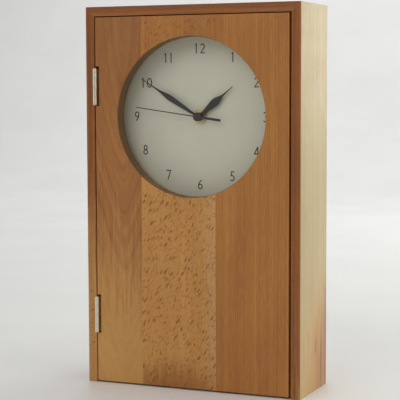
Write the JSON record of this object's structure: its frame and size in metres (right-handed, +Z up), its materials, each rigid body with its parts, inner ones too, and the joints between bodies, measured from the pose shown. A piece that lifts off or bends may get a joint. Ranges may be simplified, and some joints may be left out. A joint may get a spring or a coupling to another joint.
{
  "type": "mantel clock",
  "caption": "Tall wooden box clock: full-height hinged door with a round window, fixed dial behind it, battery movement with three hands, and a compartment below.",
  "frame": {"origin": "centre of the case's footprint, on the surface it stands on", "axes": "+Z up, -Y out of the dial face, +X to the right as seen from the front"},
  "size_m": [0.24, 0.0898, 0.4],
  "materials": {
    "case_wood": "oiled beech, satin, slightly darker than the door",
    "door_wood_brown": "oiled steamed beech, satin",
    "door_wood_golden": "oiled beech with ray flecks, satin",
    "plywood": "birch plywood, sanded",
    "dial_enamel": "matt warm white paint with printed numerals",
    "hand_black": "satin black paint",
    "hinge_nickel": "nickel plated steel, lightly worn",
    "steel": "bright steel",
    "brass_screws": "brassed steel screws",
    "brass": "turned brass",
    "black_plastic": "fine textured black moulding",
    "pale_plastic": "natural acetal",
    "black_rubber": "soft rubber",
    "copper": "enamelled copper wire",
    "board_green": "green solder resist",
    "battery_sleeve": "plain shrink sleeve with bare steel ends"
  },
  "bodies": {
    "case": {"left_side": "case_wood", "right_side": "case_wood", "top_panel": "case_wood", "bottom_panel": "case_wood", "shelf": "case_wood", "back_panel": "plywood", "back_screws": "brass_screws", "left_batten": "case_wood", "right_batten": "case_wood", "dial_board": "plywood", "dial_board_screws": "steel", "dial_plate": "dial_enamel", "catch_magnet": "steel", "upper_hinge_case_leaf": "hinge_nickel", "upper_hinge_pin": "hinge_nickel", "lower_hinge_case_leaf": "hinge_nickel", "lower_hinge_pin": "hinge_nickel", "hinge_case_screws": "hinge_nickel", "movement_front_case": "black_plastic", "movement_rear_cover": "black_plastic", "rubber_washer": "black_rubber", "brass_washer": "brass", "bush_nut": "brass", "train_plate": "pale_plastic", "stator": "steel", "coil_bobbin": "pale_plastic", "coil_winding": "copper", "circuit_board": "board_green", "timing_crystal": "steel", "chip": "black_plastic", "battery": "battery_sleeve", "positive_contact": "steel", "negative_contact": "steel"},
    "door": {"door_board_left": "door_wood_brown", "door_board_upper": "door_wood_golden", "door_board_lower": "door_wood_golden", "door_board_right": "door_wood_brown", "strike_plate": "steel", "strike_screw": "steel", "upper_hinge_door_leaf": "hinge_nickel", "lower_hinge_door_leaf": "hinge_nickel", "hinge_door_screws": "hinge_nickel"},
    "rotor_arbor": {"rotor": "steel"},
    "intermediate_arbor": {"intermediate_wheel": "pale_plastic"},
    "seconds_arbor": {"seconds_wheel": "pale_plastic", "second_hand": "hand_black"},
    "third_arbor": {"third_wheel": "pale_plastic"},
    "centre_wheel_ring": {"centre_wheel": "pale_plastic"},
    "minute_pipe": {"cannon_pinion": "brass", "minute_hand": "hand_black"},
    "setting_arbor": {"minute_wheel": "pale_plastic", "setting_knob": "pale_plastic"},
    "hour_pipe": {"hour_wheel": "pale_plastic", "hour_hand": "hand_black"}
  },
  "joints": [
    {"name": "door_hinge", "type": "hinge", "parent": "case", "child": "door", "pos_m": [-0.10865, -0.0446, 0.2], "axis": [0, 0, -1], "range_deg": [0, 180]},
    {"name": "rotor_turn", "type": "hinge", "parent": "case", "child": "rotor_arbor", "pos_m": [-0.0216, -0.002, 0.2847], "axis": [0, 1, 0], "continuous": true},
    {"name": "intermediate_turn", "type": "hinge", "parent": "case", "child": "intermediate_arbor", "pos_m": [-0.0126, -0.0006, 0.2847], "axis": [0, 1, 0], "continuous": true},
    {"name": "seconds_turn", "type": "hinge", "parent": "case", "child": "seconds_arbor", "pos_m": [0, -0.0016, 0.2847], "axis": [0, 1, 0], "continuous": true},
    {"name": "third_turn", "type": "hinge", "parent": "case", "child": "third_arbor", "pos_m": [0.0106, -0.0036, 0.29082], "axis": [0, 1, 0], "continuous": true},
    {"name": "centre_turn", "type": "hinge", "parent": "case", "child": "centre_wheel_ring", "pos_m": [0, -0.0049, 0.2847], "axis": [0, 1, 0], "continuous": true},
    {"name": "minute_turn", "type": "hinge", "parent": "case", "child": "minute_pipe", "pos_m": [0, -0.0067, 0.2847], "axis": [0, 1, 0], "continuous": true},
    {"name": "setting_turn", "type": "hinge", "parent": "case", "child": "setting_arbor", "pos_m": [-0.00217, -0.0067, 0.29699], "axis": [0, 1, 0], "continuous": true},
    {"name": "hour_turn", "type": "hinge", "parent": "case", "child": "hour_pipe", "pos_m": [0, -0.0082, 0.2847], "axis": [0, 1, 0], "continuous": true}
  ],
  "couplings": [
    {"joint": "intermediate_turn", "follows": "rotor_turn", "ratio": -0.2},
    {"joint": "seconds_turn", "follows": "rotor_turn", "ratio": 0.033333},
    {"joint": "third_turn", "follows": "rotor_turn", "ratio": -0.0044444},
    {"joint": "centre_turn", "follows": "rotor_turn", "ratio": 0.00055556},
    {"joint": "setting_turn", "follows": "minute_turn", "ratio": -0.33333},
    {"joint": "hour_turn", "follows": "minute_turn", "ratio": 0.083333}
  ]
}
